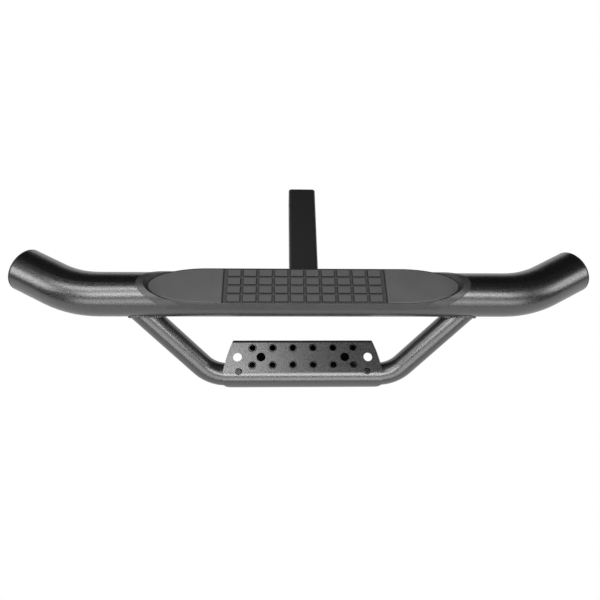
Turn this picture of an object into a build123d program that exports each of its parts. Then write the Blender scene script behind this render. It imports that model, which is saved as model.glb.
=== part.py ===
"""Hitch receiver step: a bent round tube with a treaded pad, a drop hoop with a folded lower step and a
square receiver shank.

Millimetres. The origin is the centre of the hitch pin bore. +X runs across the vehicle, +Y along the shank
towards the vehicle and +Z up.
"""
import os
from math import atan, cos, degrees, radians, sin, sqrt, tan

from build123d import *

os.makedirs("parts", exist_ok=True)

# Receiver shank
SHANK_SIZE = 50.8
SHANK_WALL = 6.0
SHANK_CORNER = 6.0
SHANK_INNER_CORNER = 2.0
SHANK_REACH = 235.0
SHANK_DROP = 8.0
PIN_BORE_R = 8.25
PIN_FROM_END = 63.5
END_CHAMFER = 1.2

# Main tube
TUBE_OD = 76.2
TUBE_WALL = 2.5
TUBE_STRAIGHT = 347.0
TUBE_BEND_R = 171.0
TUBE_BEND = 27.5
TUBE_TAIL = 62.0

# Pressed flat that seats the pad
FLAT_PRESS = 14.1
FLAT_MARGIN = 2.0
SCOOP_RISE = 16.0
SCOOP_RUN = 6.0
SCOOP_MARGIN = 0.4

# End caps
CAP_THICK = 4.0
CAP_EDGE = 2.2
CAP_PLUG = 18.0
CAP_PLUG_WALL = 3.0
CAP_FIT = 0.15

# Pad base
PAD_TIP = 279.0
PAD_SHOULDER = 185.0
PAD_SPREAD = 2.0
FLOOR_THICK = 2.5
POCKET_DEEP = 2.1
POCKET_RIM = 1.7
PAD_TOP_INSET = 3.2
PAD_HEM = 14.0
PAD_EDGE = 1.0
SKIRT_THICK = 2.9
COLLAR_THICK = 1.6
PAD_FIT = 0.25
COVER_SHOULDER = 165.0
COVER_TIP = 261.0

# Tread mat and end covers
SEAM_X = 135.4
SEAM_GAP = 2.2
POCKET_FIT = 0.8
MAT_THICK = 1.5
MAT_BORDER = 3.4
BLOCK_COLUMNS = 10
BLOCK_ROWS = 4
BLOCK_GAP_X = 3.4
BLOCK_GAP_Y = 2.4
BLOCK_HIGH = 2.4
BLOCK_CORNER = 2.0
BLOCK_DRAFT = 25.0
COVER_THICK = 3.3
COVER_EDGE = 1.2

# Countersunk pad screws
PAD_SCREW_INNER = 160.0
PAD_SCREW_OUTER = 232.0
PAD_SCREW_R = 2.5
PAD_SCREW_HEAD_R = 4.6
PAD_SCREW_LENGTH = 11.0
PAD_SCREW_FIT = 0.1
PAD_SCREW_DRIVE = 1.6

# Drop hoop
HOOP_OD = 41.3
HOOP_WALL = 2.0
HOOP_Y = -94.8
HOOP_Z = -125.4
HOOP_TILT = 54.0
HOOP_LEAN = 48.0
HOOP_CORNER_X = 165.5
HOOP_BEND_R = 60.0

# Weld beads
BEAD = 4.0
BEAD_FIT = 0.02

# Lower step plate
PLATE_THICK = 3.0
PLATE_TILT = 12.0
PLATE_DEPTH = 58.7
PLATE_FRONT_HALF = 143.5
PLATE_BACK_HALF = 126.5
PLATE_SIDE_HALF = 137.8
PLATE_SIDE_BACK = 27.0
PLATE_WRAP = 100.0
PLATE_WRAP_CORNER = 22.0
PLATE_BACK_BEND = 6.0
PLATE_FLANGE = 13.0
PLATE_FIT = 0.4
BIG_HOLE_R = 8.0
BIG_HOLE_INNER = 76.0
BIG_HOLE_OUTER = 118.5
BIG_HOLE_BACK = 26.6
DIMPLE_COLUMNS = 6
DIMPLE_PITCH_X = 36.6
DIMPLE_FRONT = 11.4
DIMPLE_BACK = 43.0
DIMPLE_R = 7.6
DIMPLE_TOP_R = 6.2
DIMPLE_SINK = 0.8
DIMPLE_HOLE_R = 5.7
DIMPLE_HIGH = 1.6

# Button-head screws and rivet nuts that hold the plate
SCREW_X = 115.6
SCREW_R = 3.0
SCREW_HEAD_R = 6.0
SCREW_HEAD_HIGH = 3.4
SCREW_HEAD_ROUND = 2.2
SCREW_LENGTH = 15.0
SCREW_TIP = 0.8
SCREW_SOCKET_R = 2.3
SCREW_SOCKET_DEEP = 2.0
SCREW_FIT = 0.3
NUT_R = 4.5
NUT_BULGE_R = 6.2
NUT_BULGE = 3.0
NUT_LENGTH = 11.0
NUT_SINK = 0.6
NUT_SEAT = 1.4
NUT_FIT = 0.1

# Bracket that carries the back of the plate
BRACKET_HALF = 103.0
BRACKET_THICK = 3.0
BRACKET_FLOOR = -8.0
BRACKET_TOP = 15.0
BRACKET_BEND = 4.0

# Places that follow from the sizes
tube_r = TUBE_OD / 2
tube_inner_r = tube_r - TUBE_WALL
flat_height = tube_r - FLAT_PRESS
pad_floor = flat_height + FLOOR_THICK
pad_top = pad_floor + POCKET_DEEP
pad_top_half = tube_r - PAD_TOP_INSET
pad_outer_r = tube_r + SKIRT_THICK
hem_half = sqrt(pad_outer_r**2 - PAD_HEM**2)
pocket_half = pad_top_half - POCKET_RIM
block_pitch_x = 2 * (SEAM_X - MAT_BORDER) / BLOCK_COLUMNS
block_pitch_y = 2 * pocket_half / BLOCK_ROWS
hoop_r = HOOP_OD / 2
tube_y = PIN_FROM_END - SHANK_REACH
tube_z = SHANK_SIZE / 2 - SHANK_DROP
tube_axis = Vector(0, tube_y, tube_z)
pad_screw_places = [(side * x, 0) for x in (PAD_SCREW_INNER, PAD_SCREW_OUTER) for side in (1, -1)]
flat_tip = COVER_TIP + FLAT_MARGIN
scoop_tip = COVER_TIP + POCKET_RIM
skirt_tip = scoop_tip + hem_half - pad_top_half
plate_under = hoop_r + PLATE_FIT
plate_top = plate_under + PLATE_THICK
plate_middle = plate_under + PLATE_THICK / 2
back_bend_mid = PLATE_BACK_BEND - PLATE_THICK / 2
plate_bend_start = PLATE_DEPTH - PLATE_BACK_BEND
dimple_draft = degrees(atan((DIMPLE_R - DIMPLE_TOP_R) / DIMPLE_HIGH))
dimple_row = [DIMPLE_PITCH_X * (i - (DIMPLE_COLUMNS - 1) / 2) for i in range(DIMPLE_COLUMNS)]
dimple_places = [(x, y) for x in dimple_row for y in (DIMPLE_FRONT, DIMPLE_BACK)]
big_hole_places = [(side * x, BIG_HOLE_BACK) for x in (BIG_HOLE_INNER, BIG_HOLE_OUTER) for side in (1, -1)]
plate_screw_places = [(SCREW_X, 0), (-SCREW_X, 0)]
nut_grip = HOOP_WALL + NUT_SEAT - NUT_SINK
bracket_root = hoop_r / 2
bracket_wall = PLATE_DEPTH - PLATE_THICK - BRACKET_THICK / 2
hoop_axis = tube_axis + Vector(0, HOOP_Y, HOOP_Z)
hoop_rise = -HOOP_Y * cos(radians(HOOP_TILT)) - HOOP_Z * sin(radians(HOOP_TILT))
hoop_run = hoop_rise / tan(radians(HOOP_LEAN))
bend_reach = HOOP_BEND_R * tan(radians(HOOP_LEAN / 2))
leg_length = hoop_rise / sin(radians(HOOP_LEAN)) - bend_reach
leg_top_x = HOOP_CORNER_X + hoop_run

pad_plane = Plane(origin=tube_axis, x_dir=(1, 0, 0), z_dir=(0, 0, 1))
shank_plane = Plane(origin=(0, tube_y, 0), x_dir=(1, 0, 0), z_dir=(0, 1, 0))
section_plane = Plane(origin=tube_axis, x_dir=(0, 1, 0), z_dir=(1, 0, 0))
hoop_plane = Plane(
    origin=hoop_axis,
    x_dir=(1, 0, 0),
    z_dir=(0, -sin(radians(HOOP_TILT)), cos(radians(HOOP_TILT))),
)
plate_plane = Plane(
    origin=hoop_axis,
    x_dir=(1, 0, 0),
    z_dir=(0, -sin(radians(PLATE_TILT)), cos(radians(PLATE_TILT))),
)
plate_front = Plane(origin=hoop_axis, x_dir=(1, 0, 0), z_dir=-plate_plane.y_dir)
plate_section = Plane(origin=hoop_axis, x_dir=plate_plane.y_dir, z_dir=(1, 0, 0))

screw_plane = plate_plane.offset(plate_top).move(Location((SCREW_X, 0, 0)))
wrap_low = plate_top * cos(radians(PLATE_WRAP))
screw_axis = Axis(screw_plane.origin, screw_plane.z_dir)
nut_plane = Plane(
    origin=hoop_axis + Vector(SCREW_X, 0, 0) + plate_plane.z_dir * (hoop_r - NUT_SINK),
    x_dir=(1, 0, 0),
    z_dir=-plate_plane.y_dir,
)


def tongue(level, shoulder, tip, half_width):
    """Flat outline at a level over the tube axis, with straight sides and a half-ellipse at each end."""
    with BuildSketch(pad_plane.offset(level)) as outline:
        Rectangle(2 * shoulder, 2 * half_width)
        with Locations((shoulder, 0), (-shoulder, 0)):
            Ellipse(tip - shoulder, half_width)
    return outline.sketch


# Centreline of the main tube
with BuildLine(pad_plane) as tube_path:
    straight = Line((-TUBE_STRAIGHT, 0), (TUBE_STRAIGHT, 0))
    right_bend = JernArc(straight @ 1, (1, 0), TUBE_BEND_R, TUBE_BEND)
    right_tail = PolarLine(right_bend @ 1, TUBE_TAIL, TUBE_BEND)
    left_bend = JernArc(straight @ 0, (-1, 0), TUBE_BEND_R, -TUBE_BEND)
    left_tail = PolarLine(left_bend @ 1, TUBE_TAIL, 180 - TUBE_BEND)
tube_wire = tube_path.wires()[0]
tube_start = Plane(origin=tube_wire @ 0, x_dir=(0, 0, 1), z_dir=tube_wire % 0)
right_end = Plane(origin=right_tail @ 1, x_dir=(0, 0, 1), z_dir=right_tail % 1)

# Centreline of the drop hoop, from its left leg to its right leg, with both legs ending inside the main tube
with BuildLine(hoop_plane) as hoop_path:
    hoop_bottom = Line((bend_reach - HOOP_CORNER_X, 0), (HOOP_CORNER_X - bend_reach, 0))
    hoop_right_bend = JernArc(hoop_bottom @ 1, (1, 0), HOOP_BEND_R, HOOP_LEAN)
    right_leg = PolarLine(hoop_right_bend @ 1, leg_length, HOOP_LEAN)
    hoop_left_bend = JernArc(hoop_bottom @ 0, (-1, 0), HOOP_BEND_R, -HOOP_LEAN)
    left_leg = PolarLine(hoop_left_bend @ 1, leg_length, 180 - HOOP_LEAN)
hoop_wire = hoop_path.wires()[0]
hoop_start = Plane(origin=hoop_wire @ 0, x_dir=hoop_plane.z_dir, z_dir=hoop_wire % 0)
right_leg_foot = Plane(origin=right_leg @ 0, x_dir=hoop_plane.z_dir, z_dir=right_leg % 0)


def scoop(level, tip):
    """Cutter above a flat, with sides that slope outwards all round.

    Args: level is the flat's height over the tube axis, tip the reach of its rounded ends.
    """
    half_width = pad_top_half + SCOOP_MARGIN
    low = tongue(level, COVER_SHOULDER, tip, half_width)
    high = tongue(level + SCOOP_RISE, COVER_SHOULDER, tip + SCOOP_RUN, half_width + SCOOP_RUN)
    with BuildPart() as cutter:
        loft([low.face(), high.face()], ruled=True)
    return cutter.part


def round_bar(radius, length):
    """Round bar of a radius and length along X, centred on the main tube's axis."""
    with BuildPart() as bar:
        with BuildSketch(section_plane):
            Circle(radius)
        extrude(amount=length / 2, both=True)
    return bar.part


# Outside of the pressed tube with the pad's fit around it
with BuildPart() as tube_seat:
    add(round_bar(tube_r + PAD_FIT, 2 * PAD_TIP))
    add(scoop(flat_height, flat_tip), mode=Mode.SUBTRACT)

# Inside of the main tube, which follows the pressed flat one wall below it
with BuildPart() as tube_bore:
    with BuildSketch(tube_start):
        Circle(tube_inner_r)
    sweep(path=tube_wire)
    add(scoop(flat_height - TUBE_WALL, flat_tip + 0.75 * TUBE_WALL), mode=Mode.SUBTRACT)

with BuildPart() as main_tube:
    with BuildSketch(tube_start):
        Circle(tube_r)
    sweep(path=tube_wire)
    add(scoop(flat_height, flat_tip), mode=Mode.SUBTRACT)
    add(tube_bore.part, mode=Mode.SUBTRACT)
    with BuildSketch(pad_plane.offset(flat_height)):
        with Locations(pad_screw_places):
            Circle(PAD_SCREW_R + PAD_SCREW_FIT)
    extrude(amount=-2 * TUBE_WALL, mode=Mode.SUBTRACT)
main_tube.part.label = "main_tube"
export_step(main_tube.part, "parts/main_tube.step")

# End caps, each with a plug skirt inside the tube
with BuildPart() as end_cap_right:
    with BuildSketch(right_end):
        Circle(tube_r)
    extrude(amount=CAP_THICK)
    fillet(end_cap_right.faces().sort_by(Axis(right_end.origin, right_end.z_dir))[-1].edges(), CAP_EDGE)
    with BuildSketch(right_end):
        Circle(tube_inner_r - CAP_FIT)
        Circle(tube_inner_r - CAP_FIT - CAP_PLUG_WALL, mode=Mode.SUBTRACT)
    extrude(amount=-CAP_PLUG)
end_cap_right.part.label = "end_cap_right"
export_step(end_cap_right.part, "parts/end_cap_right.step")

with BuildPart() as end_cap_left:
    mirror(end_cap_right.part, about=Plane.YZ)
end_cap_left.part.label = "end_cap_left"
export_step(end_cap_left.part, "parts/end_cap_left.step")

# Receiver shank, coped to the main tube, with the pin bore through both sides
with BuildPart() as shank:
    with BuildSketch(shank_plane):
        RectangleRounded(SHANK_SIZE, SHANK_SIZE, SHANK_CORNER)
    extrude(amount=SHANK_REACH)
    chamfer(shank.faces().sort_by(Axis.Y)[-1].edges(), END_CHAMFER)
    with BuildSketch(shank_plane):
        RectangleRounded(SHANK_SIZE - 2 * SHANK_WALL, SHANK_SIZE - 2 * SHANK_WALL, SHANK_INNER_CORNER)
    extrude(amount=SHANK_REACH, mode=Mode.SUBTRACT)
    with BuildSketch(Plane.YZ):
        Circle(PIN_BORE_R)
    extrude(amount=SHANK_SIZE, both=True, mode=Mode.SUBTRACT)
    add(round_bar(tube_r, 2 * SHANK_SIZE), mode=Mode.SUBTRACT)
shank.part.label = "shank"
export_step(shank.part, "parts/shank.step")

# Fillet weld around the shank where it meets the tube
with BuildPart() as shank_weld:
    with BuildSketch(shank_plane):
        RectangleRounded(SHANK_SIZE + 2 * BEAD, SHANK_SIZE + 2 * BEAD, SHANK_CORNER + BEAD)
    extrude(amount=tube_r + BEAD)
    add(round_bar(tube_r + BEAD, 2 * SHANK_SIZE), mode=Mode.INTERSECT)
    add(round_bar(tube_r + BEAD_FIT, 2 * SHANK_SIZE), mode=Mode.SUBTRACT)
    with BuildSketch(shank_plane):
        RectangleRounded(SHANK_SIZE + 2 * BEAD_FIT, SHANK_SIZE + 2 * BEAD_FIT, SHANK_CORNER + BEAD_FIT)
    extrude(amount=SHANK_REACH, mode=Mode.SUBTRACT)
shank_weld.part.label = "shank_weld"
export_step(shank_weld.part, "parts/shank_weld.step")

# Drop hoop, coped to the underside of the main tube, with holes for the rivet nuts
with BuildPart() as lower_hoop:
    with BuildSketch(hoop_start):
        Circle(hoop_r)
        Circle(hoop_r - HOOP_WALL, mode=Mode.SUBTRACT)
    sweep(path=hoop_wire)
    add(round_bar(tube_r, 4 * leg_top_x), mode=Mode.SUBTRACT)
    with BuildSketch(plate_plane):
        with Locations(plate_screw_places):
            Circle(NUT_R + NUT_FIT)
    extrude(amount=HOOP_OD, mode=Mode.SUBTRACT)
lower_hoop.part.label = "lower_hoop"
export_step(lower_hoop.part, "parts/lower_hoop.step")

# Weld beads at the tops of the hoop's legs
with BuildPart() as hoop_weld_right:
    with BuildSketch(right_leg_foot):
        Circle(hoop_r + BEAD)
    extrude(amount=leg_length)
    add(round_bar(tube_r + BEAD, 4 * leg_top_x), mode=Mode.INTERSECT)
    add(round_bar(tube_r + BEAD_FIT, 4 * leg_top_x), mode=Mode.SUBTRACT)
    with BuildSketch(right_leg_foot):
        Circle(hoop_r + BEAD_FIT)
    extrude(amount=leg_length, mode=Mode.SUBTRACT)
hoop_weld_right.part.label = "hoop_weld_right"
export_step(hoop_weld_right.part, "parts/hoop_weld_right.step")

with BuildPart() as hoop_weld_left:
    mirror(hoop_weld_right.part, about=Plane.YZ)
hoop_weld_left.part.label = "hoop_weld_left"
export_step(hoop_weld_left.part, "parts/hoop_weld_left.step")

# Folded lower step: a flat tread, a wrap around the front of the hoop and a flange along the back
with BuildPart() as step_plate:
    with BuildSketch(plate_section):
        with BuildLine() as plate_centre:
            tread_line = Line((plate_bend_start, plate_middle), (0, plate_middle))
            CenterArc((0, 0), plate_middle, 90, PLATE_WRAP)
            back_turn = CenterArc((plate_bend_start, plate_middle - back_bend_mid), back_bend_mid, 0, 90)
            Line(back_turn @ 0, back_turn @ 0 - Vector(0, PLATE_FLANGE))
        trace(line_width=PLATE_THICK)
    extrude(amount=PLATE_FRONT_HALF, both=True)
    with BuildSketch(plate_front):
        with Locations((PLATE_FRONT_HALF, wrap_low), (-PLATE_FRONT_HALF, wrap_low)):
            Rectangle(2 * PLATE_WRAP_CORNER, 2 * PLATE_WRAP_CORNER)
        with Locations(
            (PLATE_FRONT_HALF - PLATE_WRAP_CORNER, wrap_low + PLATE_WRAP_CORNER),
            (PLATE_WRAP_CORNER - PLATE_FRONT_HALF, wrap_low + PLATE_WRAP_CORNER),
        ):
            Circle(PLATE_WRAP_CORNER, mode=Mode.SUBTRACT)
    extrude(amount=2 * HOOP_OD, mode=Mode.SUBTRACT)
    with BuildSketch(plate_plane):
        with BuildLine():
            Polyline(
                (-PLATE_FRONT_HALF, 0),
                (-PLATE_FRONT_HALF, -2 * HOOP_OD),
                (PLATE_FRONT_HALF, -2 * HOOP_OD),
                (PLATE_FRONT_HALF, 0),
            )
            ThreePointArc(
                (PLATE_FRONT_HALF, 0), (PLATE_SIDE_HALF, PLATE_SIDE_BACK), (PLATE_BACK_HALF, PLATE_DEPTH)
            )
            Line((PLATE_BACK_HALF, PLATE_DEPTH), (-PLATE_BACK_HALF, PLATE_DEPTH))
            ThreePointArc(
                (-PLATE_BACK_HALF, PLATE_DEPTH), (-PLATE_SIDE_HALF, PLATE_SIDE_BACK), (-PLATE_FRONT_HALF, 0)
            )
        make_face()
    extrude(amount=2 * HOOP_OD, both=True, mode=Mode.INTERSECT)
    with BuildSketch(plate_plane.offset(plate_top)):
        with Locations(dimple_places):
            Circle(DIMPLE_R)
    extrude(amount=DIMPLE_HIGH, taper=dimple_draft)
    with BuildSketch(plate_plane.offset(plate_under)):
        with Locations(dimple_places):
            Circle(DIMPLE_R - DIMPLE_SINK)
    extrude(amount=DIMPLE_HIGH, taper=dimple_draft, mode=Mode.SUBTRACT)
    with BuildSketch(plate_plane.offset(plate_under - PLATE_THICK)):
        with Locations(dimple_places):
            Circle(DIMPLE_HOLE_R)
        with Locations(big_hole_places):
            Circle(BIG_HOLE_R)
        with Locations(plate_screw_places):
            Circle(SCREW_R + SCREW_FIT)
    extrude(amount=3 * PLATE_THICK, mode=Mode.SUBTRACT)
step_plate.part.label = "step_plate"
export_step(step_plate.part, "parts/step_plate.step")

# Folded bracket that closes the hoop's back to the plate's flange
with BuildPart() as plate_support:
    with BuildSketch(plate_section):
        with BuildLine():
            FilletPolyline(
                (bracket_root, BRACKET_FLOOR),
                (bracket_wall, BRACKET_FLOOR),
                (bracket_wall, BRACKET_TOP),
                radius=BRACKET_BEND,
            )
        trace(line_width=BRACKET_THICK)
    extrude(amount=BRACKET_HALF, both=True)
    with BuildSketch(plate_section):
        Circle(hoop_r)
    extrude(amount=2 * BRACKET_HALF, both=True, mode=Mode.SUBTRACT)
plate_support.part.label = "plate_support"
export_step(plate_support.part, "parts/plate_support.step")

# Button-head screws that hold the plate on the hoop
with BuildPart() as plate_screw_right:
    with BuildSketch(screw_plane):
        Circle(SCREW_HEAD_R)
    extrude(amount=SCREW_HEAD_HIGH)
    fillet(plate_screw_right.faces().sort_by(screw_axis)[-1].edges(), SCREW_HEAD_ROUND)
    with BuildSketch(screw_plane.offset(SCREW_HEAD_HIGH)):
        RegularPolygon(SCREW_SOCKET_R, 6)
    extrude(amount=-SCREW_SOCKET_DEEP, mode=Mode.SUBTRACT)
    with BuildSketch(screw_plane):
        Circle(SCREW_R)
    extrude(amount=-SCREW_LENGTH)
    chamfer(plate_screw_right.faces().sort_by(screw_axis)[0].edges(), SCREW_TIP)
plate_screw_right.part.label = "plate_screw_right"
export_step(plate_screw_right.part, "parts/plate_screw_right.step")

with BuildPart() as plate_screw_left:
    mirror(plate_screw_right.part, about=Plane.YZ)
plate_screw_left.part.label = "plate_screw_left"
export_step(plate_screw_left.part, "parts/plate_screw_left.step")

# Rivet nuts set flush in the hoop's wall
with BuildPart() as plate_rivnut_right:
    with BuildSketch(nut_plane):
        with BuildLine():
            Polyline(
                (SCREW_R + NUT_FIT, 0),
                (NUT_R, 0),
                (NUT_R, -nut_grip),
                (NUT_BULGE_R, -nut_grip - NUT_BULGE / 3),
                (NUT_BULGE_R, -nut_grip - NUT_BULGE * 2 / 3),
                (NUT_R, -nut_grip - NUT_BULGE),
                (NUT_R, -NUT_LENGTH),
                (SCREW_R + NUT_FIT, -NUT_LENGTH),
                close=True,
            )
        make_face()
    revolve(axis=screw_axis)
plate_rivnut_right.part.label = "plate_rivnut_right"
export_step(plate_rivnut_right.part, "parts/plate_rivnut_right.step")

with BuildPart() as plate_rivnut_left:
    mirror(plate_rivnut_right.part, about=Plane.YZ)
plate_rivnut_left.part.label = "plate_rivnut_left"
export_step(plate_rivnut_left.part, "parts/plate_rivnut_left.step")

# Thin collar of the pad base, which hugs the tube inside the pad's outline
with BuildPart() as collar:
    add(round_bar(tube_r + COLLAR_THICK, 2 * PAD_TIP))
    outline = tongue(PAD_HEM, PAD_SHOULDER, PAD_TIP, hem_half + PAD_SPREAD)
    extrude(outline, amount=TUBE_OD, mode=Mode.INTERSECT)

# Pad base: a flared skirt under the mat and the covers, joined to the collar and scooped flat between its ends
with BuildPart() as pad_base:
    skirt_foot = tongue(PAD_HEM, COVER_SHOULDER, skirt_tip, hem_half)
    skirt_top = tongue(pad_top, COVER_SHOULDER, scoop_tip, pad_top_half)
    loft([skirt_foot.face(), skirt_top.face()], ruled=True)
    fillet(pad_base.faces().sort_by(Axis.Z)[-1].edges(), PAD_EDGE)
    add(collar.part)
    add(scoop(pad_top, scoop_tip), mode=Mode.SUBTRACT)
    add(tube_seat.part, mode=Mode.SUBTRACT)
    pocket = tongue(pad_floor, COVER_SHOULDER, COVER_TIP + POCKET_FIT, pocket_half + POCKET_FIT)
    extrude(pocket, amount=TUBE_OD, mode=Mode.SUBTRACT)
    with Locations([(x, tube_y, tube_z + pad_floor) for x, y in pad_screw_places]):
        CounterSinkHole(PAD_SCREW_R + PAD_SCREW_FIT, PAD_SCREW_HEAD_R + PAD_SCREW_FIT, 2 * FLOOR_THICK)
pad_base.part.label = "pad_base"
export_step(pad_base.part, "parts/pad_base.step")

# Tread mat with its raised blocks
with BuildPart() as tread_mat:
    with BuildSketch(pad_plane.offset(pad_floor)):
        Rectangle(2 * SEAM_X, 2 * pocket_half)
    extrude(amount=MAT_THICK)
    with BuildSketch(pad_plane.offset(pad_floor + MAT_THICK)):
        with GridLocations(block_pitch_x, block_pitch_y, BLOCK_COLUMNS, BLOCK_ROWS):
            RectangleRounded(block_pitch_x - BLOCK_GAP_X, block_pitch_y - BLOCK_GAP_Y, BLOCK_CORNER)
    extrude(amount=BLOCK_HIGH, taper=BLOCK_DRAFT)
tread_mat.part.label = "tread_mat"
export_step(tread_mat.part, "parts/tread_mat.step")

# Smooth end covers beyond the seams
with BuildPart() as end_cover_right:
    extrude(tongue(pad_floor, COVER_SHOULDER, COVER_TIP, pocket_half), amount=COVER_THICK)
    split(bisect_by=Plane.YZ.offset(SEAM_X + SEAM_GAP))
    fillet(end_cover_right.faces().sort_by(Axis.Z)[-1].edges(), COVER_EDGE)
end_cover_right.part.label = "end_cover_right"
export_step(end_cover_right.part, "parts/end_cover_right.step")

with BuildPart() as end_cover_left:
    mirror(end_cover_right.part, about=Plane.YZ)
end_cover_left.part.label = "end_cover_left"
export_step(end_cover_left.part, "parts/end_cover_left.step")


def pad_screw(x):
    """Countersunk screw that holds the pad base on the tube, at a distance along the pad."""
    with BuildPart() as screw:
        with BuildSketch(Plane(origin=tube_axis + Vector(x, 0, pad_floor), x_dir=(1, 0, 0), z_dir=(0, -1, 0))):
            with BuildLine():
                Polyline(
                    (0, 0),
                    (PAD_SCREW_HEAD_R, 0),
                    (PAD_SCREW_R, PAD_SCREW_R - PAD_SCREW_HEAD_R),
                    (PAD_SCREW_R, PAD_SCREW_R - PAD_SCREW_LENGTH),
                    (0, -PAD_SCREW_LENGTH),
                    close=True,
                )
            make_face()
        revolve(axis=Axis(tube_axis + Vector(x, 0, 0), (0, 0, 1)))
        with BuildSketch(pad_plane.offset(pad_floor)):
            with Locations((x, 0)):
                RegularPolygon(PAD_SCREW_DRIVE, 6)
        extrude(amount=-PAD_SCREW_DRIVE, mode=Mode.SUBTRACT)
    return screw.part


with BuildPart() as pad_screw_inner_right:
    add(pad_screw(PAD_SCREW_INNER))
pad_screw_inner_right.part.label = "pad_screw_inner_right"
export_step(pad_screw_inner_right.part, "parts/pad_screw_inner_right.step")

with BuildPart() as pad_screw_outer_right:
    add(pad_screw(PAD_SCREW_OUTER))
pad_screw_outer_right.part.label = "pad_screw_outer_right"
export_step(pad_screw_outer_right.part, "parts/pad_screw_outer_right.step")

with BuildPart() as pad_screw_inner_left:
    add(pad_screw(-PAD_SCREW_INNER))
pad_screw_inner_left.part.label = "pad_screw_inner_left"
export_step(pad_screw_inner_left.part, "parts/pad_screw_inner_left.step")

with BuildPart() as pad_screw_outer_left:
    add(pad_screw(-PAD_SCREW_OUTER))
pad_screw_outer_left.part.label = "pad_screw_outer_left"
export_step(pad_screw_outer_left.part, "parts/pad_screw_outer_left.step")
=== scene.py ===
"""Looks of the hitch receiver step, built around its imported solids."""
import logging
import math
from dataclasses import dataclass
from enum import Enum
from typing import Any, Dict, List, Optional, Sequence, Tuple

import bpy
from mathutils import Matrix, Vector


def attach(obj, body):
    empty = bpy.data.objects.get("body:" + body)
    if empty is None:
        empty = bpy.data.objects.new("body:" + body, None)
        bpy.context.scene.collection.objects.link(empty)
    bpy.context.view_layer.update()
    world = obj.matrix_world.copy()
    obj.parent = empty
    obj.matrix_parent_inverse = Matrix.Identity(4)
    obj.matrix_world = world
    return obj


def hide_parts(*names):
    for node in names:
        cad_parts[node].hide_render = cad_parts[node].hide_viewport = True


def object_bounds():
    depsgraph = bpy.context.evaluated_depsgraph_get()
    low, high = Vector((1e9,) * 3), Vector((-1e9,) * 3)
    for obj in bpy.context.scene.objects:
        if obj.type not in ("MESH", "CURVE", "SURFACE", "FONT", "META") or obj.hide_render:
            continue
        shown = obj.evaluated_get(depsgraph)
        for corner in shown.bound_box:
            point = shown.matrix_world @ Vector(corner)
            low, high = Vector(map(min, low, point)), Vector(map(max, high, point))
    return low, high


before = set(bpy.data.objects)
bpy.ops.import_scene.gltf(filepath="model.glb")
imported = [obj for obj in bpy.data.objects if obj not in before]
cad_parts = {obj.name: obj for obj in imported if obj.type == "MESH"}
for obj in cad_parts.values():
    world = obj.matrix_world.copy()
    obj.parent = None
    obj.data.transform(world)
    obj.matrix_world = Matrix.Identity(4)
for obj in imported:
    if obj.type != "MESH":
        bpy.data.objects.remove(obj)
CAD_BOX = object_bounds()

log = logging.getLogger("hitch_step")

MM = 0.001
BODY = "root"
POLYMER_IOR = 1.49
Colour = Tuple[float, float, float, float]
Stop = Tuple[float, str]


class Slot(Enum):
    """Material slots of the record."""

    WELD = "weld_coat"


def linear(hex_colour: str) -> Colour:
    """Turn an sRGB hex colour into linear RGBA.

    Args:
        hex_colour: Six hex digits with a leading hash.

    Returns:
        Linear red, green, blue and an alpha of one.
    """
    values = [int(hex_colour[i:i + 2], 16) / 255 for i in (1, 3, 5)]
    bent = [v / 12.92 if v <= 0.04045 else ((v + 0.055) / 1.055) ** 2.4 for v in values]
    return bent[0], bent[1], bent[2], 1.0


def add_node(
    tree: bpy.types.NodeTree,
    kind: str,
    settings: Optional[Dict[str, Any]] = None,
    links: Optional[Dict[Any, bpy.types.NodeSocket]] = None,
) -> bpy.types.Node:
    """Add a node with its settings and incoming links.

    Args:
        tree: Node tree that gets the node.
        kind: Blender's name of the node type.
        settings: Values by property name, or by input socket name.
        links: Output sockets by the name or number of the input that they feed.

    Returns:
        The new node.
    """
    node = tree.nodes.new(kind)
    for name, value in (settings or {}).items():
        if name in node.inputs:
            node.inputs[name].default_value = value
        else:
            setattr(node, name, value)
    for name, socket in (links or {}).items():
        tree.links.new(socket, node.inputs[name])
    return node


def blank_material(name: str) -> bpy.types.Material:
    """Make a node material with an empty tree.

    Args:
        name: Name of the finish.

    Returns:
        The material.
    """
    material = bpy.data.materials.new(name)
    material.use_nodes = True
    material.node_tree.nodes.clear()
    return material


def grain_noise(
    tree: bpy.types.NodeTree,
    grain_mm: float,
    detail: float,
    roughness: float = 0.5,
) -> bpy.types.NodeSocket:
    """Add a noise that is fixed to the piece.

    Args:
        tree: Node tree that gets the noise.
        grain_mm: Size of its grains in millimetres.
        detail: Number of finer layers in it.
        roughness: Strength of those layers.

    Returns:
        The noise's level.
    """
    place = add_node(tree, "ShaderNodeTexCoord")
    noise = add_node(
        tree,
        "ShaderNodeTexNoise",
        {"Scale": 1 / (grain_mm * MM), "Detail": detail, "Roughness": roughness},
        {"Vector": place.outputs["Object"]},
    )
    return noise.outputs["Fac"]


def tone_ramp(
    tree: bpy.types.NodeTree,
    level: bpy.types.NodeSocket,
    stops: Sequence[Stop],
) -> bpy.types.NodeSocket:
    """Turn a level into a colour.

    Args:
        tree: Node tree that gets the ramp.
        level: Level that runs along the ramp.
        stops: Places on the ramp with their hex colours, from low to high.

    Returns:
        The colour.
    """
    ramp = add_node(tree, "ShaderNodeValToRGB", None, {"Fac": level})
    elements = ramp.color_ramp.elements
    for element, (position, hex_colour) in ((elements[0], stops[0]), (elements[1], stops[-1])):
        element.position = position
        element.color = linear(hex_colour)
    for position, hex_colour in stops[1:-1]:
        elements.new(position).color = linear(hex_colour)
    return ramp.outputs["Color"]


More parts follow.
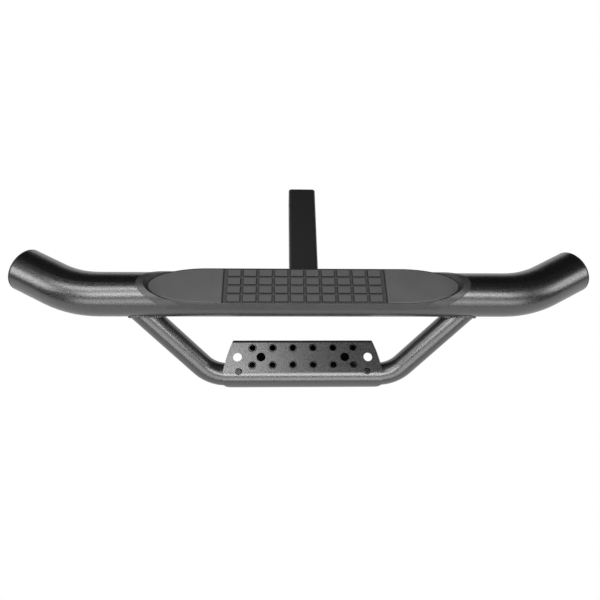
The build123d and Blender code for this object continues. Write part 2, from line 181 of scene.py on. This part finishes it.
def fine_relief(
    tree: bpy.types.NodeTree,
    height: bpy.types.NodeSocket,
    strength: float,
    depth_mm: float,
) -> bpy.types.NodeSocket:
    """Add the fine relief of a surface.

    Args:
        tree: Node tree that gets the relief.
        height: Level that stands for the height.
        strength: Strength of the relief.
        depth_mm: Its depth in millimetres.

    Returns:
        The surface normal.
    """
    bump = add_node(
        tree,
        "ShaderNodeBump",
        {"Strength": strength, "Distance": depth_mm * MM},
        {"Height": height},
    )
    return bump.outputs["Normal"]


def add_surface(
    tree: bpy.types.NodeTree,
    settings: Dict[str, Any],
    links: Dict[Any, bpy.types.NodeSocket],
) -> None:
    """Add the shader of a finish and the material's output.

    Args:
        tree: Node tree that gets them.
        settings: Values of the shader by input name.
        links: Output sockets by the input of the shader that they feed.
    """
    shader = add_node(tree, "ShaderNodeBsdfPrincipled", settings, links)
    add_node(tree, "ShaderNodeOutputMaterial", None, {"Surface": shader.outputs["BSDF"]})


@dataclass(frozen=True)
class CoatedSteel:
    """Steel under black polyester powder coat, sprayed and baked to a fine sandy texture.

    The coat is nearly black in shade and throws a broad, speckled highlight where it faces the light.
    """

    name: str
    low_hex: str
    high_hex: str
    roughness: float
    gloss: float
    grain_mm: float
    bump: float
    ior: float = 1.7
    grain_layers: float = 3.0
    layer_strength: float = 0.65
    tone_span: Tuple[float, float] = (0.35, 0.68)
    shine_span: Tuple[float, float] = (0.3, 0.7)
    duller_low: float = 0.08
    shinier_high: float = 0.06
    relief_share: float = 0.06

    def material(self) -> bpy.types.Material:
        """Build the finish.

        Returns:
            The node material.
        """
        material = blank_material(self.name)
        tree = material.node_tree
        grain = grain_noise(tree, self.grain_mm, self.grain_layers, self.layer_strength)
        stops = ((self.tone_span[0], self.low_hex), (self.tone_span[1], self.high_hex))
        shine = add_node(
            tree,
            "ShaderNodeMapRange",
            {
                "From Min": self.shine_span[0],
                "From Max": self.shine_span[1],
                "To Min": self.roughness + self.duller_low,
                "To Max": self.roughness - self.shinier_high,
            },
            {"Value": grain},
        )
        add_surface(
            tree,
            {"IOR": self.ior, "Specular IOR Level": self.gloss},
            {
                "Base Color": tone_ramp(tree, grain, stops),
                "Roughness": shine.outputs["Result"],
                "Normal": fine_relief(tree, grain, self.bump, self.relief_share * self.grain_mm),
            },
        )
        return material


@dataclass(frozen=True)
class MouldedPlastic:
    """Injection-moulded plastic from a lightly sparked mould: matte, even, with a faint cloudiness."""

    name: str
    low_hex: str
    high_hex: str
    roughness: float
    grain_mm: float
    cloud_mm: float
    bump: float
    layers: float = 2.0
    tone_span: Tuple[float, float] = (0.3, 0.7)
    relief_share: float = 0.3

    def material(self) -> bpy.types.Material:
        """Build the finish.

        Returns:
            The node material.
        """
        material = blank_material(self.name)
        tree = material.node_tree
        cloud = grain_noise(tree, self.cloud_mm, self.layers)
        grain = grain_noise(tree, self.grain_mm, self.layers)
        stops = ((self.tone_span[0], self.low_hex), (self.tone_span[1], self.high_hex))
        add_surface(
            tree,
            {"IOR": POLYMER_IOR, "Roughness": self.roughness},
            {
                "Base Color": tone_ramp(tree, cloud, stops),
                "Normal": fine_relief(tree, grain, self.bump, self.relief_share * self.grain_mm),
            },
        )
        return material


@dataclass(frozen=True)
class TreadRubber:
    """Moulded tread rubber: grey groove floors, block tops painted a little lighter as a painted highlight,
    and block sides painted dark as painted shade.

    The heights are those of the groove floors and the block tops in the shared frame.
    """

    name: str
    floor_hex: str
    side_shade_hex: str
    top_highlight_hex: str
    floor_mm: float
    top_mm: float
    roughness: float
    grain_mm: float
    bump: float
    layers: float = 2.0
    floor_until: float = 0.02
    side_shade_span: Tuple[float, float] = (0.08, 0.75)
    top_highlight_from: float = 0.97
    relief_share: float = 0.3

    def material(self) -> bpy.types.Material:
        """Build the finish.

        Returns:
            The node material.
        """
        material = blank_material(self.name)
        tree = material.node_tree
        place = add_node(tree, "ShaderNodeTexCoord")
        split = add_node(tree, "ShaderNodeSeparateXYZ", None, {0: place.outputs["Object"]})
        rise = add_node(
            tree,
            "ShaderNodeMapRange",
            {"From Min": self.floor_mm * MM, "From Max": self.top_mm * MM},
            {"Value": split.outputs["Z"]},
        )
        # Colour by height: painted shade on the block sides, painted highlight on the block tops.
        stops = (
            (self.floor_until, self.floor_hex),
            (self.side_shade_span[0], self.side_shade_hex),
            (self.side_shade_span[1], self.side_shade_hex),
            (self.top_highlight_from, self.top_highlight_hex),
        )
        grain = grain_noise(tree, self.grain_mm, self.layers)
        add_surface(
            tree,
            {"IOR": POLYMER_IOR, "Roughness": self.roughness},
            {
                "Base Color": tone_ramp(tree, rise.outputs["Result"], stops),
                "Normal": fine_relief(tree, grain, self.bump, self.relief_share * self.grain_mm),
            },
        )
        return material


@dataclass(frozen=True)
class PlatedSteel:
    """Plated or blackened steel hardware with fine, uneven marks."""

    name: str
    low_hex: str
    high_hex: str
    roughness: float
    mark_mm: float
    layers: float = 4.0

    def material(self) -> bpy.types.Material:
        """Build the finish.

        Returns:
            The node material.
        """
        material = blank_material(self.name)
        tree = material.node_tree
        marks = grain_noise(tree, self.mark_mm, self.layers)
        stops = ((0.0, self.low_hex), (1.0, self.high_hex))
        add_surface(
            tree,
            {"Metallic": 1.0, "Roughness": self.roughness},
            {"Base Color": tone_ramp(tree, marks, stops)},
        )
        return material


TUBE_COAT = CoatedSteel(
    name="tube_black_powder_coat",
    low_hex="#020202",
    high_hex="#0a0a0b",
    roughness=0.3,
    gloss=0.8,
    grain_mm=2.8,
    bump=0.6,
)
SHANK_COAT = CoatedSteel(
    name="shank_black_powder_coat",
    low_hex="#0a0a0a",
    high_hex="#1c1c1d",
    roughness=0.42,
    gloss=0.5,
    grain_mm=2.8,
    bump=0.6,
)
PLATE_COAT = CoatedSteel(
    name="plate_black_powder_coat",
    low_hex="#020202",
    high_hex="#0a0a0b",
    roughness=0.3,
    gloss=0.9,
    grain_mm=2.6,
    bump=0.6,
)
# Painted shade: a darker, duller copy of the black powder coat, so that the bracket boxed under the plate
# reads as shadow through the plate's holes.
BRACKET_SHADE_COAT = CoatedSteel(
    name="bracket_painted_shade_coat",
    low_hex="#010101",
    high_hex="#040404",
    roughness=0.8,
    gloss=0.05,
    grain_mm=2.4,
    bump=0.4,
)
PAD_PLASTIC = MouldedPlastic(
    name="pad_base_moulded_plastic",
    low_hex="#2f2f2f",
    high_hex="#363637",
    roughness=0.38,
    grain_mm=1.6,
    cloud_mm=40.0,
    bump=0.1,
)
COVER_PLASTIC = MouldedPlastic(
    name="end_cover_moulded_plastic",
    low_hex="#464646",
    high_hex="#4f4f50",
    roughness=0.6,
    grain_mm=1.6,
    cloud_mm=60.0,
    bump=0.1,
)
CAP_PLASTIC = MouldedPlastic(
    name="end_cap_moulded_plastic",
    low_hex="#101011",
    high_hex="#161617",
    roughness=0.55,
    grain_mm=1.6,
    cloud_mm=30.0,
    bump=0.12,
)
# Block sides carry painted shade and block tops a painted highlight.
TREAD_RUBBER = TreadRubber(
    name="tread_mat_rubber",
    floor_hex="#383838",
    side_shade_hex="#0a0a0a",
    top_highlight_hex="#484849",
    floor_mm=45.4,
    top_mm=47.8,
    roughness=0.62,
    grain_mm=1.4,
    bump=0.15,
)
BLACK_SCREW = PlatedSteel(
    name="screw_black_oxide",
    low_hex="#303031",
    high_hex="#4c4c4d",
    roughness=0.32,
    mark_mm=1.2,
)
ZINC = PlatedSteel(
    name="zinc_plated_steel",
    low_hex="#b4b6b8",
    high_hex="#d0d2d3",
    roughness=0.35,
    mark_mm=1.0,
)


def dress(nodes: Sequence[str], material: bpy.types.Material) -> None:
    """Give carried-over solids a finish.

    Args:
        nodes: Names of the solids.
        material: Finish that they share.
    """
    for name in nodes:
        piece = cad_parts[name]
        piece.data.materials.clear()
        piece.data.materials.append(material)
        log.info("dressed %s with %s", name, material.name)


def rounded_square(side: float, corner: float, steps: int) -> List[Tuple[float, float]]:
    """Walk round a square with rounded corners.

    Args:
        side: Length of a side.
        corner: Radius of the corners.
        steps: Number of even steps.

    Returns:
        Points across and up, counted from the middle.
    """
    flat = side - 2 * corner
    quarter = math.pi * corner / 2
    stretch = flat + quarter
    points = []
    for i in range(steps):
        way = 4 * stretch * i / steps
        edge, along = divmod(way, stretch)
        if along < flat:
            x, y = along - flat / 2, side / 2
        else:
            angle = (along - flat) / corner
            x = flat / 2 + corner * math.sin(angle)
            y = flat / 2 + corner * math.cos(angle)
        for _ in range(int(edge)):
            x, y = y, -x
        points.append((x, y))
    return points


@dataclass
class WeldBead:
    """Run of weld metal laid as overlapping drops along a seam."""

    name: str
    node: str
    drop_mm: float = 2.7
    voxel_mm: float = 0.8
    lay_flat: float = 0.72
    drop_segments: int = 12
    drop_rings: int = 8
    ease_factor: float = 0.5
    ease_rounds: int = 2

    def build(self, seam: Sequence[Vector], coat: bpy.types.Material) -> bpy.types.Object:
        """Lay the drops, melt them into one bead and coat it.

        Args:
            seam: Points along the seam, in millimetres.
            coat: Finish of the bead.

        Returns:
            The bead, standing for its plain solid.
        """
        bpy.ops.object.select_all(action="DESELECT")
        drops = []
        for i, point in enumerate(seam):
            ahead = seam[(i + 1) % len(seam)] - seam[i - 1]
            bpy.ops.mesh.primitive_uv_sphere_add(
                segments=self.drop_segments,
                ring_count=self.drop_rings,
                radius=self.drop_mm * MM,
                location=point * MM,
                rotation=ahead.to_track_quat("Z", "Y").to_euler(),
            )
            bpy.context.object.scale = (1.0, 1.0, self.lay_flat)
            drops.append(bpy.context.object)
        bpy.ops.object.select_all(action="DESELECT")
        for drop in drops:
            drop.select_set(True)
        bpy.context.view_layer.objects.active = drops[0]
        bpy.ops.object.join()
        bead = bpy.context.object
        bpy.ops.object.transform_apply(location=True, rotation=True, scale=True)
        melt = bead.modifiers.new("melt", "REMESH")
        melt.mode = "VOXEL"
        melt.voxel_size = self.voxel_mm * MM
        bpy.ops.object.modifier_apply(modifier=melt.name)
        ease = bead.modifiers.new("ease", "SMOOTH")
        ease.factor = self.ease_factor
        ease.iterations = self.ease_rounds
        bpy.ops.object.modifier_apply(modifier=ease.name)
        bpy.ops.object.shade_smooth()
        bead.name = self.name
        bead.data.materials.clear()
        bead.data.materials.append(coat)
        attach(bead, BODY)
        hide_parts(self.node)
        log.info("laid %s with %d drops", self.name, len(drops))
        return bead


@dataclass
class TubeFrame:
    """Main tube, shank and drop hoop, with their caps and welds."""

    tubes: Tuple[str, ...] = ("main_tube", "lower_hoop")
    shanks: Tuple[str, ...] = ("shank",)
    caps: Tuple[str, ...] = ("end_cap_left", "end_cap_right")
    axis_mm: Tuple[float, float, float] = (0.0, -171.5, 17.4)
    tube_r_mm: float = 38.1
    shank_mm: float = 50.8
    shank_corner_mm: float = 6.0
    hoop_r_mm: float = 20.65
    hoop_low_mm: Tuple[float, float] = (-94.8, -125.4)
    hoop_tilt_deg: float = 54.0
    hoop_lean_deg: float = 48.0
    hoop_corner_mm: float = 165.5
    seam_rise_mm: float = 0.5
    seam_end_mm: float = 1.0

    def leg_seam(self, side: int, steps: int = 44) -> List[Vector]:
        """Follow the line where a hoop leg meets the main tube.

        Args:
            side: 1 for the right leg, -1 for the left.
            steps: Number of points.

        Returns:
            Points along the seam, in millimetres.
        """
        tilt, lean = math.radians(self.hoop_tilt_deg), math.radians(self.hoop_lean_deg)
        rise = math.sin(lean)
        along = Vector((side * math.cos(lean), rise * math.cos(tilt), rise * math.sin(tilt)))
        normal = Vector((0.0, -math.sin(tilt), math.cos(tilt)))
        across = along.cross(normal)
        foot = Vector((side * self.hoop_corner_mm, self.hoop_low_mm[0], self.hoop_low_mm[1]))
        seam = []
        for i in range(steps):
            turn = 2 * math.pi * i / steps
            radial = normal * math.cos(turn) + across * math.sin(turn)
            start = foot + radial * (self.hoop_r_mm + self.seam_rise_mm)
            a = along.y ** 2 + along.z ** 2
            b = 2 * (start.y * along.y + start.z * along.z)
            c = start.y ** 2 + start.z ** 2 - (self.tube_r_mm + self.seam_rise_mm) ** 2
            way = (-b - math.sqrt(b * b - 4 * a * c)) / (2 * a)
            seam.append(start + along * way + Vector(self.axis_mm))
        return seam

    def shank_seam(self, steps: int = 76) -> List[Vector]:
        """Follow the line where the shank meets the main tube.

        Args:
            steps: Number of points all round the shank.

        Returns:
            Points along the seam, in millimetres, without the stretch below the tube.
        """
        axis = Vector(self.axis_mm)
        reach = self.tube_r_mm + self.seam_rise_mm
        seam = []
        for x, z in rounded_square(self.shank_mm + 2 * self.seam_rise_mm, self.shank_corner_mm, steps):
            level = z - axis.z
            if abs(level) < self.tube_r_mm - self.seam_end_mm:
                seam.append(Vector((x, axis.y + math.sqrt(reach ** 2 - level ** 2), z)))
        return seam

    def weld(self, coat: bpy.types.Material) -> None:
        """Lay the three weld beads.

        Args:
            coat: Finish that the beads share with the tubes.
        """
        WeldBead("hoop_bead_right", "hoop_weld_right").build(self.leg_seam(1), coat)
        WeldBead("hoop_bead_left", "hoop_weld_left").build(self.leg_seam(-1), coat)
        WeldBead("shank_bead", "shank_weld").build(self.shank_seam(), coat)

    def dress(self) -> None:
        """Give the welded frame its powder coat and the caps their plastic."""
        coat = TUBE_COAT.material()
        dress(self.tubes, coat)
        self.weld(coat)
        dress(self.shanks, SHANK_COAT.material())
        dress(self.caps, CAP_PLASTIC.material())


@dataclass
class LowerStep:
    """Folded plate on the hoop, its bracket and its fasteners."""

    sheets: Tuple[str, ...] = ("step_plate",)
    brackets: Tuple[str, ...] = ("plate_support",)
    screws: Tuple[str, ...] = ("plate_screw_left", "plate_screw_right")
    nuts: Tuple[str, ...] = ("plate_rivnut_left", "plate_rivnut_right")

    def dress(self) -> None:
        """Give the sheet metal its coat and the fasteners their plating."""
        dress(self.sheets, PLATE_COAT.material())
        # The bracket's coat is darkened as painted shade.
        dress(self.brackets, BRACKET_SHADE_COAT.material())
        dress(self.screws, BLACK_SCREW.material())
        dress(self.nuts, ZINC.material())


@dataclass
class StepPad:
    """Moulded pad on the tube, with its tread mat, end covers and screws."""

    bases: Tuple[str, ...] = ("pad_base",)
    covers: Tuple[str, ...] = ("end_cover_left", "end_cover_right")
    mats: Tuple[str, ...] = ("tread_mat",)
    screws: Tuple[str, ...] = (
        "pad_screw_inner_left",
        "pad_screw_inner_right",
        "pad_screw_outer_left",
        "pad_screw_outer_right",
    )

    def dress(self) -> None:
        """Give the pad its plastics and rubber."""
        dress(self.bases, PAD_PLASTIC.material())
        dress(self.covers, COVER_PLASTIC.material())
        dress(self.mats, TREAD_RUBBER.material())
        dress(self.screws, ZINC.material())


@dataclass
class ShotCamera:
    """Camera above and behind the step, as the photograph was taken."""

    focal_px: float = 520.0
    frame_px: float = 600.0
    sensor_mm: float = 36.0
    pitch_deg: float = 59.4
    yaw_deg: float = 4.05
    roll_deg: float = 3.6
    offset_mm: Tuple[float, float, float] = (7.19, -9.27, 897.96)
    target_mm: Tuple[float, float, float] = (0.0, -171.5, 17.4)
    sight_m: float = 50.0

    def axes(self) -> Matrix:
        """Work out the camera's right, down and forward directions.

        Returns:
            A matrix with those directions as its rows.
        """
        pitch = math.radians(self.pitch_deg)
        level = Matrix((
            (1.0, 0.0, 0.0),
            (0.0, -math.sin(pitch), -math.cos(pitch)),
            (0.0, math.cos(pitch), -math.sin(pitch)),
        ))
        roll = Matrix.Rotation(math.radians(self.roll_deg), 3, "Z")
        yaw = Matrix.Rotation(math.radians(self.yaw_deg), 3, "Z")
        return roll @ level @ yaw

    def build(self) -> bpy.types.Object:
        """Create the camera and make it the scene's.

        Returns:
            The camera object.
        """
        rows = self.axes()
        right, down, forward = rows[0], rows[1], rows[2]
        place = (Vector(self.target_mm) - rows.transposed() @ Vector(self.offset_mm)) * MM
        bpy.ops.object.camera_add(location=place)
        camera = bpy.context.object
        camera.name = "shot_camera"
        turn = Matrix((right, -down, -forward)).transposed()
        camera.rotation_euler = turn.to_euler()
        camera.data.sensor_width = self.sensor_mm
        camera.data.lens = self.sensor_mm * self.focal_px / self.frame_px
        camera.data.clip_end = self.sight_m
        bpy.context.scene.camera = camera
        return camera


@dataclass(frozen=True)
class Softbox:
    """Soft rectangular lamp with its width along the step, in metres and watts."""

    name: str
    place: Tuple[float, float, float]
    size: Tuple[float, float]
    power: float

    def hang(self, aim: Vector) -> None:
        """Hang the lamp.

        Args:
            aim: The point that it faces.
        """
        place = Vector(self.place)
        bpy.ops.object.light_add(type="AREA", location=place)
        lamp = bpy.context.object
        lamp.name = self.name
        lamp.data.shape = "RECTANGLE"
        lamp.data.size, lamp.data.size_y = self.size
        lamp.data.energy = self.power
        back = (place - aim).normalized()
        side = (Vector((1.0, 0.0, 0.0)) - back * back.x).normalized()
        lamp.rotation_euler = Matrix((side, back.cross(side), back)).transposed().to_euler()


@dataclass
class Studio:
    """Pale floor, soft lamps and a plain world."""

    floor_drop: float = 0.32
    floor_size: float = 30.0
    paper_hex: str = "#e8e8e8"
    air_hex: str = "#ffffff"
    air_level: float = 0.02
    aim: Tuple[float, float, float] = (0.0, -0.22, 0.0)
    softboxes: Tuple[Softbox, ...] = (
        Softbox("top_left_softbox", (-0.75, -0.3, 1.72), (1.4, 0.42), 12.5),
        Softbox("front_top_softbox", (0.0, -1.15, 1.58), (2.6, 0.55), 35.0),
        Softbox("front_softbox", (0.0, -2.2, 0.75), (3.7, 0.9), 34.0),
        Softbox("left_softbox", (-2.0, -0.6, 1.0), (0.9, 0.75), 12.0),
        Softbox("right_softbox", (2.05, -0.6, 0.9), (0.8, 0.75), 9.0),
    )

    def floor(self) -> bpy.types.Object:
        """Lay the pale floor well below the step.

        It is white where the camera, a reflection or clear material shows it, and plain paper in the light.

        Returns:
            The floor object.
        """
        height = CAD_BOX[0][2] - self.floor_drop
        bpy.ops.object.select_all(action="DESELECT")
        bpy.ops.mesh.primitive_plane_add(size=self.floor_size, location=(0.0, 0.0, height))
        floor = bpy.context.object
        floor.name = "studio_floor"
        material = blank_material("white_paper_floor")
        tree = material.node_tree
        path = add_node(tree, "ShaderNodeLightPath")
        shown = path.outputs["Is Camera Ray"]
        for ray in ("Is Glossy Ray", "Is Transmission Ray"):
            either = add_node(
                tree,
                "ShaderNodeMath",
                {"operation": "MAXIMUM"},
                {0: shown, 1: path.outputs[ray]},
            )
            shown = either.outputs[0]
        paper = add_node(tree, "ShaderNodeBsdfDiffuse", {"Color": linear(self.paper_hex)})
        glow = add_node(tree, "ShaderNodeEmission", {"Strength": 1.0})
        mix = add_node(
            tree,
            "ShaderNodeMixShader",
            None,
            {0: shown, 1: paper.outputs[0], 2: glow.outputs[0]},
        )
        add_node(tree, "ShaderNodeOutputMaterial", None, {"Surface": mix.outputs[0]})
        floor.data.materials.append(material)
        return floor

    def build(self) -> None:
        """Set up the floor, the lamps, the world and the view transform."""
        floor = self.floor()
        log.info("laid %s", floor.name)
        for softbox in self.softboxes:
            softbox.hang(Vector(self.aim))
            log.info("hung %s", softbox.name)
        world = bpy.data.worlds.new("studio_world")
        bpy.context.scene.world = world
        world.use_nodes = True
        tree = world.node_tree
        tree.nodes.clear()
        air = add_node(
            tree,
            "ShaderNodeBackground",
            {"Color": linear(self.air_hex), "Strength": self.air_level},
        )
        add_node(tree, "ShaderNodeOutputWorld", None, {"Surface": air.outputs[0]})
        bpy.context.scene.view_settings.view_transform = "Standard"


def main() -> None:
    """Build the camera, the finishes and the studio in order."""
    logging.basicConfig(level=logging.INFO)
    camera = ShotCamera().build()
    log.info("set up %s", camera.name)
    TubeFrame().dress()
    LowerStep().dress()
    StepPad().dress()
    Studio().build()


if __name__ == "__main__":
    main()
